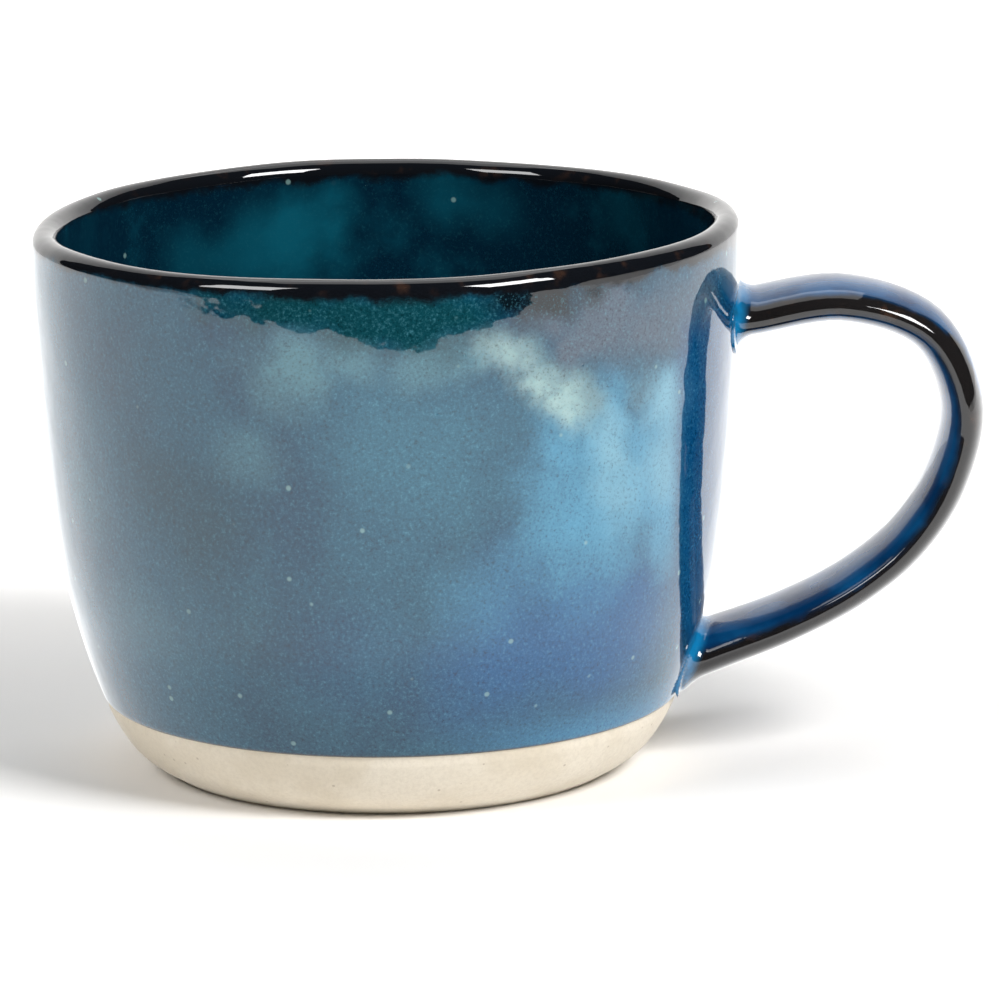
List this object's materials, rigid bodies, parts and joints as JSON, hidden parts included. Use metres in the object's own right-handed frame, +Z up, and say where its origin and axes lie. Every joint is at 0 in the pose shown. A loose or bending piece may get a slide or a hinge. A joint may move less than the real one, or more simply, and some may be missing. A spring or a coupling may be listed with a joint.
{
  "type": "handmade stoneware mug",
  "caption": "Round-bellied glazed stoneware mug with a narrow bare clay foot and a pulled loop handle, open at the top.",
  "frame": {"origin": "centre of the resting face, on the mug's axis", "axes": "+Z up along the mug's axis, +X to the handle, +Y completes a right-handed frame"},
  "size_m": [0.135, 0.1, 0.0788],
  "materials": {
    "stoneware_clay": "bare cream stoneware, fired, slightly rough with fine grog",
    "slip": "dried and fired slip of the same clay",
    "liner_glaze": "deep teal blue gloss glaze",
    "outer_glaze": "mottled dark blue gloss glaze with teal and pale streaks",
    "lip_glaze": "near black gloss glaze, thin over the lip",
    "handle_glaze": "blue black gloss glaze, browner on the edges"
  },
  "bodies": {
    "root": {"stoneware_body": "stoneware_clay", "pulled_handle": "stoneware_clay", "upper_slip_bed": "slip", "lower_slip_bed": "slip", "upper_joint_coil": "stoneware_clay", "lower_joint_coil": "stoneware_clay", "liner_glaze": "liner_glaze", "outer_glaze": "outer_glaze", "lip_glaze": "lip_glaze", "handle_glaze": "handle_glaze"}
  },
  "joints": []
}
